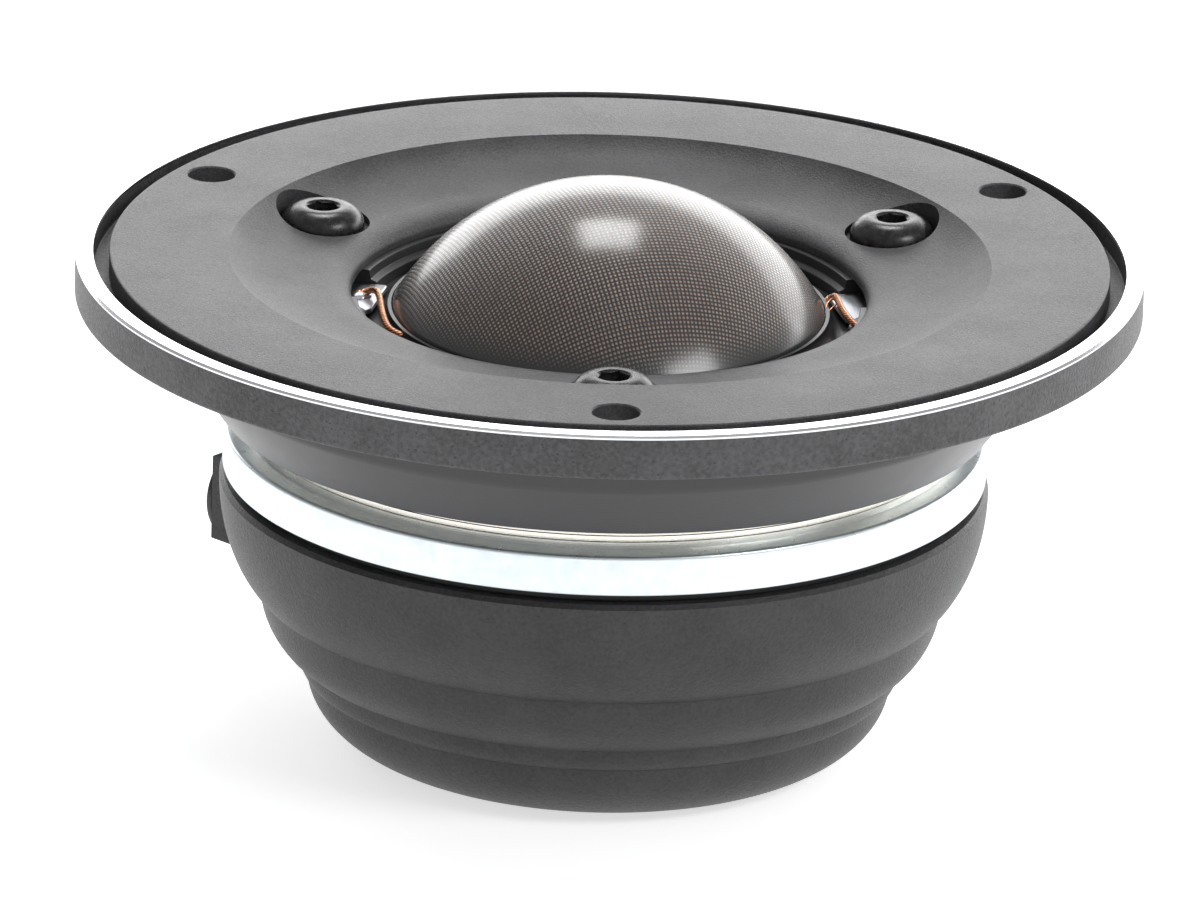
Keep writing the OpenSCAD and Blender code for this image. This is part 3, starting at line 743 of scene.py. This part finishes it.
def make_lug(name, node, azimuth, shift, corners, material, solder_at, seed):
    """Tinned lug with a frozen drop of solder on it. Its corners are millimetres out and sideways."""
    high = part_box(node)[1]
    thick = 0.35 * MM
    outline = rounded([(x * MM, (shift + y) * MM, f * MM) for x, y, f in corners])
    turn = Matrix.Rotation(math.radians(azimuth), 4, "Z")
    place = turn @ Matrix.Translation((0, 0, high.z - thick))
    plate = prism(name, outline, thick, material, place, 0.06 * MM)
    drop = []
    for i in range(9):
        a = math.radians(90 * i / 8)
        drop.append((0.7 * MM * math.sin(a), high.z - 0.05 * MM + 0.42 * MM * math.cos(a)))

    def uneven(r, a, z):
        return r * (1 + 0.16 * math.sin(2 * a + seed) + 0.07 * math.sin(5 * a + 2 * seed))

    blob = lathe(name + "_solder", drop + [(0, high.z - 0.05 * MM)], material, 32, radial=uneven)
    blob.data.transform(Matrix.Translation((solder_at.x, solder_at.y, 0)))
    piece = combine(plate, [blob], "UNION")
    place_on(piece, "frame", "tinned_brass", node)


def braid(name, route, material, strands=5, radius=0.085, twist=1.4, spread=0.15, seed=0.0):
    """Twisted strands round a smooth route, in millimetres."""
    path = smooth_path([Vector((x * MM, y * MM, depth(d))) for x, y, d in route], 12)
    made = []
    for s in range(strands):
        line, travelled = [], 0.0
        for i, point in enumerate(path):
            ahead = (path[min(i + 1, len(path) - 1)] - path[max(i - 1, 0)]).normalized()
            side = ahead.cross(Vector((0, 0, 1))).normalized()
            up = side.cross(ahead)
            if i:
                travelled += (point - path[i - 1]).length / MM
            a = 2 * math.pi * (s / strands + travelled / twist) + seed
            line.append(point + (side * math.cos(a) + up * math.sin(a)) * spread * MM)
        made.append(tube(f"{name}_{s}", line, radius * MM, material, 8))
    return join(name, made)


def make_leads(material):
    """The two tinsel leads, each running in to the diaphragm at its inner end."""
    left = braid("tinsel_lead_left_braid", [
        (-17.1, 2.5, 3.95), (-16.5, 2.5, 3.75), (-15.95, 2.3, 3.5), (-15.6, 1.5, 3.35), (-15.42, 0.0, 3.35),
        (-15.3, -1.8, 3.42), (-15.1, -3.6, 3.55), (-14.75, -4.8, 3.75), (-14.1, -5.3, 3.95),
        (-13.66, -5.2, 4.05),
    ], material)
    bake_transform(left)
    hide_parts("tinsel_lead_left")
    right = braid("tinsel_lead_right_braid", [
        (17.15, -3.0, 3.95), (16.7, -2.4, 3.75), (16.1, -1.2, 3.5), (15.68, 0.4, 3.35), (15.45, 1.8, 3.3),
        (15.3, 2.7, 3.4), (14.98, 3.0, 3.65), (14.6, 2.6, 3.9), (14.45, 1.9, 4.05),
    ], material, seed=1.0)
    stray = [
        tube("stray_1", smooth_path([Vector((x * MM, y * MM, depth(d))) for x, y, d in (
            (15.5, 1.4, 3.4), (15.1, 0.7, 3.5), (14.75, 0.3, 3.75), (14.62, 0.5, 4.0))]),
             0.05 * MM, material, 8),
        tube("stray_2", smooth_path([Vector((x * MM, y * MM, depth(d))) for x, y, d in (
            (15.35, 2.4, 3.35), (15.0, 1.9, 3.35), (14.7, 1.2, 3.6), (14.66, 0.2, 3.95))]),
             0.05 * MM, material, 8),
    ]
    right = join("tinsel_lead_right_braid", [right, *stray])
    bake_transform(right)
    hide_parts("tinsel_lead_right")


# ---------------------------------------------------------------- collar and motor
COLLAR_MOUTH = 18.7
COLLAR_BORE = 25.5
COLLAR_TIP = 26.3
COLLAR_STRAIGHT = 6.4
MOTOR_TOP = 5.7


def make_collar(material):
    outline = rounded([
        (COLLAR_MOUTH * MM, FLANGE_BACK, 0),
        (COLLAR_R, FLANGE_BACK, 0),
        (COLLAR_R, depth(COLLAR_STRAIGHT), 0.8 * MM),
        (COLLAR_TIP * MM, COLLAR_END, 0.25 * MM),
        (COLLAR_BORE * MM, COLLAR_END, 0),
        (COLLAR_BORE * MM, depth(MOTOR_TOP), 0),
        (COLLAR_MOUTH * MM, depth(MOTOR_TOP), 0),
    ])
    collar = lathe("rear_collar_cone", outline, material)
    cutters = []
    for azimuth in FIXING_AZIMUTHS:
        seat = polar(SCREW_RING, azimuth, 0)
        cutters.append(drill(seat.x, seat.y, hole_outline(SCREW_CLEAR, depth(MOTOR_TOP), FLANGE_BACK)))
    combine(collar, cutters, "DIFFERENCE")
    place_on(collar, "frame", "satin_black", "rear_collar")


def make_sleeve(material):
    low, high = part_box("magnet_sleeve")[0].z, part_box("magnet_sleeve")[1].z
    inner = 22.35 * MM
    side = [(SLEEVE_R, high - 0.2 * MM)]
    groove_count = 7
    span = (high - low - 0.5 * MM) / groove_count
    for k in range(groove_count):
        z = high - 0.3 * MM - span * k
        side += [(SLEEVE_R, z), (SLEEVE_R - 0.045 * MM, z - 0.06 * MM), (SLEEVE_R - 0.045 * MM, z - 0.1 * MM),
                 (SLEEVE_R, z - 0.16 * MM)]
    outline = [(inner, low), (inner, high), (SLEEVE_R - 0.2 * MM, high), *side, (SLEEVE_R, low)]
    sleeve = lathe("magnet_sleeve_turned", outline, material, sharp=15)
    place_on(sleeve, "frame", "turned_aluminium", "magnet_sleeve")


def make_back_plate(material):
    low, high = BACK_PLATE
    r = high.x
    outline = rounded([
        (9.05 * MM, low.z, 0),
        (r, low.z, 0.12 * MM),
        (r, high.z, 0.3 * MM),
        (9.05 * MM, high.z, 0),
    ])
    plate = lathe("back_plate_zinc", outline, material)
    cutters = [drill(p.x, p.y, hole_outline(1.25 * MM, low.z, high.z)) for p in
               (polar(POST_RING, a, 0) for a in POST_AZIMUTHS)]
    cutters += [drill(p.x, p.y, hole_outline(0.8 * MM, low.z, high.z)) for p in
                (polar(17.3, a, 0) for a in (LUG_AZIMUTH, 180 - LUG_AZIMUTH))]
    combine(plate, cutters, "DIFFERENCE")
    place_on(plate, "frame", "zinc_plate", "back_plate")


def make_gasket(material):
    low, high = GASKET
    outline = rounded([
        (23.6 * MM, low.z, 0),
        (high.x, low.z, 0.1 * MM),
        (high.x, high.z, 0.1 * MM),
        (23.6 * MM, high.z, 0),
    ])
    place_on(lathe("chamber_gasket_ring", outline, material), "frame", "gasket_rubber", "chamber_gasket")


# ---------------------------------------------------------------- rear chamber and terminals
POST_RING = 11
POST_AZIMUTHS = (30, 150, 270)
COUNTERBORE_R = 2.9
COUNTERBORE_TOP = 27.3
BOSS_AZIMUTH = 140
BOSS_FACE = 27.0
BOSS_HALF = 9.7
BOSS_TOP = 17.6
BOSS_END = 25.0
TIERS = (
    (26.0, 15.83, 23.5, 23.2, 58, 16),
    (23.1, 23.5, 21.1, 27.6, 55, 10),
    (20.5, 27.9, 20.1, 29.3, 50, 4),
    (19.8, 29.5, 14.6, 34.3, 76, 18),
)


def tier(r1, d1, r2, d2, bend, steps):
    """Points from (r1, d1), leaving upright, bending in to (r2, d2)."""
    points = []
    for i in range(steps + 1):
        a = math.radians(bend * i / steps)
        fall = math.sin(a) / math.sin(math.radians(bend))
        turn = (1 - math.cos(a)) / (1 - math.cos(math.radians(bend)))
        points.append(((r1 - (r1 - r2) * turn) * MM, depth(d1 + (d2 - d1) * fall)))
    return points


def smoothstep(low, high, value):
    t = min(1.0, max(0.0, (value - low) / (high - low)))
    return t * t * (3 - 2 * t)


def boss_radius(r, a, z):
    """Radius of the chamber's skin, pushed out to the terminal boss's flat face."""
    down = (FRONT - z) / MM
    off = a - math.radians(BOSS_AZIMUTH)
    out, side = math.cos(off), abs(r / MM * math.sin(off))
    if out < 0.7 or r < 14.7 * MM:
        return r
    face = BOSS_FACE / out
    side = abs(face * math.sin(off))
    inside = (smoothstep(BOSS_TOP - 0.2, BOSS_TOP + 0.9, down)
              * (1 - smoothstep(BOSS_END - 0.3, BOSS_END + 0.2, down))
              * (1 - smoothstep(BOSS_HALF - 0.7, BOSS_HALF + 0.05, side)))
    return max(r, r + (face * MM - r) * inside)


def make_chamber(material):
    """The stepped bowl with its flat boss, and the counterbores under the three posts."""
    outline = [(25.7 * MM, CHAMBER_TOP)]
    for spec in TIERS:
        outline += tier(*spec)
    skin = []
    for (r0, z0), (r1, z1) in zip(outline, outline[1:]):
        cuts = max(1, int(math.hypot(r1 - r0, z1 - z0) / (0.34 * MM)))
        skin += [(r0 + (r1 - r0) * k / cuts, z0 + (z1 - z0) * k / cuts) for k in range(cuts)]
    skin.append(outline[-1])
    inside = [(12 * MM, 0), (0, 0), (0, depth(32)), (15 * MM, depth(32)), (18.5 * MM, depth(30.4)),
              (20.6 * MM, depth(26)), (22.4 * MM, depth(20)), (23.6 * MM, depth(17)),
              (23.6 * MM, CHAMBER_TOP)]
    body = chamber_mesh(skin, inside, material)
    cutters = []
    for azimuth in POST_AZIMUTHS:
        p = polar(POST_RING, azimuth, 0)
        bore = hole_outline(COUNTERBORE_R * MM, -0.2 * MM, depth(COUNTERBORE_TOP))
        cutters.append(drill(p.x, p.y, bore, 64))
    combine(body, cutters, "DIFFERENCE")
    place_on(body, "frame", "textured_black", "rear_chamber")


def chamber_mesh(skin, inside, material, steps=432):
    """The bowl: an outer skin shaped by the boss and a plain inside."""
    bm = bmesh.new()
    rings = []
    for i in range(steps):
        a = 2 * math.pi * i / steps
        turn = a if a < math.pi * 1.5 else a - 2 * math.pi
        ring = [(boss_radius(r, turn, z), z) for r, z in skin] + list(inside)
        rings.append([bm.verts.new((r * math.cos(a), r * math.sin(a), z)) for r, z in ring])
    count = len(rings[0])
    for i in range(steps):
        near, far = rings[i], rings[(i + 1) % steps]
        for k in range(count):
            n = (k + 1) % count
            bm.faces.new((near[k], far[k], far[n], near[n]))
    bmesh.ops.remove_doubles(bm, verts=bm.verts, dist=1e-7)
    bmesh.ops.dissolve_degenerate(bm, edges=bm.edges, dist=1e-8)
    return finish_mesh(bm, "rear_chamber_shell", material, 40)


PLATE_W = 18.0
TAB_TOP = 20.3
TAB_END = 28.8
RIVET_TAIL = 24.3
PLATE_H = 6.4
TERMINAL_DEPTH = 21.9
RIVET_HOLE = 1.05 * MM
POSITIVE_S, NEGATIVE_S = -5.0, 1.0


def on_boss(out, side, down):
    """Matrix that stands a flat outline on the boss: x goes sideways, y up and z outwards."""
    a = math.radians(BOSS_AZIMUTH)
    normal = Vector((math.cos(a), math.sin(a), 0))
    sideways = Vector((-math.sin(a), math.cos(a), 0))
    up = Vector((0, 0, 1))
    place = normal * out * MM + sideways * side * MM + up * depth(down)
    return Matrix.Translation(place) @ Matrix((sideways, up, normal)).transposed().to_4x4()


def make_terminals(plate_material, tab_material, rivet_material):
    half_w, half_h = PLATE_W / 2 * MM, PLATE_H / 2 * MM
    oval = []
    for sign in (1, -1):
        for k in range(25):
            a = math.radians(-90 + 180 * k / 24) if sign > 0 else math.radians(90 + 180 * k / 24)
            oval.append((sign * (half_w - half_h) + half_h * math.cos(a), half_h * math.sin(a)))
    seat = on_boss(BOSS_FACE, 0, TERMINAL_DEPTH)
    plate = prism("terminal_plate_oval", oval, 0.5 * MM, plate_material, seat, 0.12 * MM)
    cutters = []
    for side in (POSITIVE_S, NEGATIVE_S):
        tool = lathe("cutter", [(0, -MM), (RIVET_HOLE, -MM), (RIVET_HOLE, 2 * MM), (0, 2 * MM)], None, 48)
        tool.data.transform(on_boss(BOSS_FACE, side, TERMINAL_DEPTH))
        cutters.append(tool)
    combine(plate, cutters, "DIFFERENCE")
    place_on(plate, "frame", "moulded_black", "terminal_plate")
    for name, node, side, width in (("terminal_tab_positive", "terminal_positive", POSITIVE_S, 4.8),
                                    ("terminal_tab_negative", "terminal_negative", NEGATIVE_S, 2.8)):
        half, top, tip, nose = width / 2, TERMINAL_DEPTH - TAB_TOP, TERMINAL_DEPTH - TAB_END, 0.8
        corners = [(-half, top, 0.4), (half, top, 0.4), (half, tip + nose, 0.1), (half - nose, tip, 0.1),
                   (-half + nose, tip, 0.1), (-half, tip + nose, 0.1)]
        outline = rounded([(x * MM, y * MM, f * MM) for x, y, f in corners])
        seat = on_boss(BOSS_FACE + 0.5, side, TERMINAL_DEPTH)
        tab = prism(name, outline, 0.5 * MM, tab_material, seat, 0.08 * MM)
        tools = []
        for r, drop in ((1.05, 0.0), (0.6, tip + 2.4)):
            tool = lathe("cutter", [(0, -MM), (r * MM, -MM), (r * MM, 2 * MM), (0, 2 * MM)], None, 48)
            tool.data.transform(on_boss(BOSS_FACE + 0.5, side, TERMINAL_DEPTH - drop))
            tools.append(tool)
        combine(tab, tools, "DIFFERENCE")
        place_on(tab, "frame", "tinned_brass", node)
    for number, (side, head) in enumerate(((POSITIVE_S, 1.5), (NEGATIVE_S, 1.28))):
        face = BOSS_FACE + 1.0
        outline = [(0, (RIVET_TAIL - face) * MM), (MM, (RIVET_TAIL - face) * MM), (MM, 0), (head * MM, 0)]
        outline += [(head * MM * math.cos(math.radians(15 * k)),
                     (0.1 + 0.2 * math.sin(math.radians(15 * k))) * MM)
                    for k in range(6)]
        outline += [(0.45 * MM, 0.3 * MM), (0.3 * MM, 0.18 * MM), (0, 0.16 * MM)]
        rivet = lathe(f"terminal_rivet_{number + 1}", outline, rivet_material, 48)
        rivet.data.transform(on_boss(face, side, TERMINAL_DEPTH))
        place_on(rivet, "frame", "rivet_brass", *(["terminal_rivets"] if number == 0 else []))


# ---------------------------------------------------------------- what stays as the CAD made it
def dress_cad(looks):
    """Gives each remaining CAD node its procedural material."""
    for name, material in looks.items():
        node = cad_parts[name]
        node.data.materials.clear()
        node.data.materials.append(material)


def main():
    make_camera()
    make_studio()
    coat = textured_coat("textured_coat_fine", 0.17, 0.035)
    coat_side = textured_coat("textured_coat_cast", 0.3, 0.06)
    moulded = moulded_black()
    tinned = turned_metal("tinned_finish", (0.6, 0.62, 0.65), (0.24, 0.4), 4, 0.01, "radius")
    steel = turned_metal("steel_finish", (0.55, 0.56, 0.58), (0.25, 0.4), 6, 0.01, "both")
    enamel = copper("enamelled_copper_finish", (0.7, 0.3, 0.15), 0.3)
    make_faceplate(coat)
    make_flange(coat_side)
    make_trim(turned_metal("cut_aluminium_finish", (0.8, 0.8, 0.81), (0.12, 0.24), 9, 0.004, "both", 0.03))
    make_face_screws(screw_black())
    make_dome()
    make_surround(moulded_black("surround_finish", 0.28, 0.012))
    make_clamp_ring(moulded)
    make_lug("solder_lug_left_tab", "solder_lug_left", 180 - LUG_AZIMUTH, LUG_SHIFT,
             [(15.55, -2.75, 0.3), (17.85, -2.75, 0.1), (17.85, 2.75, 0.1), (15.65, 2.6, 0.7)],
             tinned, polar(16.9, 172, 0), 0.4)
    make_lug("solder_lug_right_tab", "solder_lug_right", LUG_AZIMUTH, -LUG_SHIFT,
             [(15.65, -2.6, 0.7), (17.85, -2.75, 0.1), (17.85, 2.75, 0.1), (15.55, 2.75, 0.3)],
             tinned, polar(17.05, -6, 0), 1.9)
    make_leads(copper("copper_braid_finish"))
    make_collar(satin_black())
    make_sleeve(turned_metal("turned_aluminium_finish", (0.95, 0.92, 0.84), (0.16, 0.34), 8, 0.012, "z",
                             0.12))
    make_back_plate(zinc_plate())
    make_gasket(moulded_black("gasket_finish", 0.5, 0.01))
    make_chamber(textured_coat("textured_coat_chamber", 0.26, 0.05, 0.016, 0.034, (0.36, 0.56)))
    make_terminals(moulded_black("terminal_plate_finish", 0.22, 0.014), tinned,
                   turned_metal("rivet_finish", (0.8, 0.72, 0.5), (0.2, 0.34), 6, 0.006, "radius"))
    dress_cad({
        "coil_former": moulded_black("former_finish", 0.3, 0.25),
        "voice_coil": enamel,
        "copper_cap": copper("cap_finish"),
        "diaphragm_frame": moulded,
        "front_plate": steel,
        "pole_piece": steel,
        "ring_magnet": turned_metal("nickel_finish", (0.72, 0.7, 0.66), (0.12, 0.2), 3, 0.004, "both"),
        "damping_pad": plain_cloth("felt_finish", (0.3, 0.3, 0.28), 0.15),
        "chamber_foam": plain_cloth("foam_finish", (0.5, 0.45, 0.3), 0.5, 0.85, 0.15),
        "chamber_screws": screw_black(),
        "hookup_wire_positive": moulded_black("red_sleeve_finish", 0.4, 0.3),
        "hookup_wire_negative": moulded_black("black_sleeve_finish", 0.4, 0.02),
    })


main()
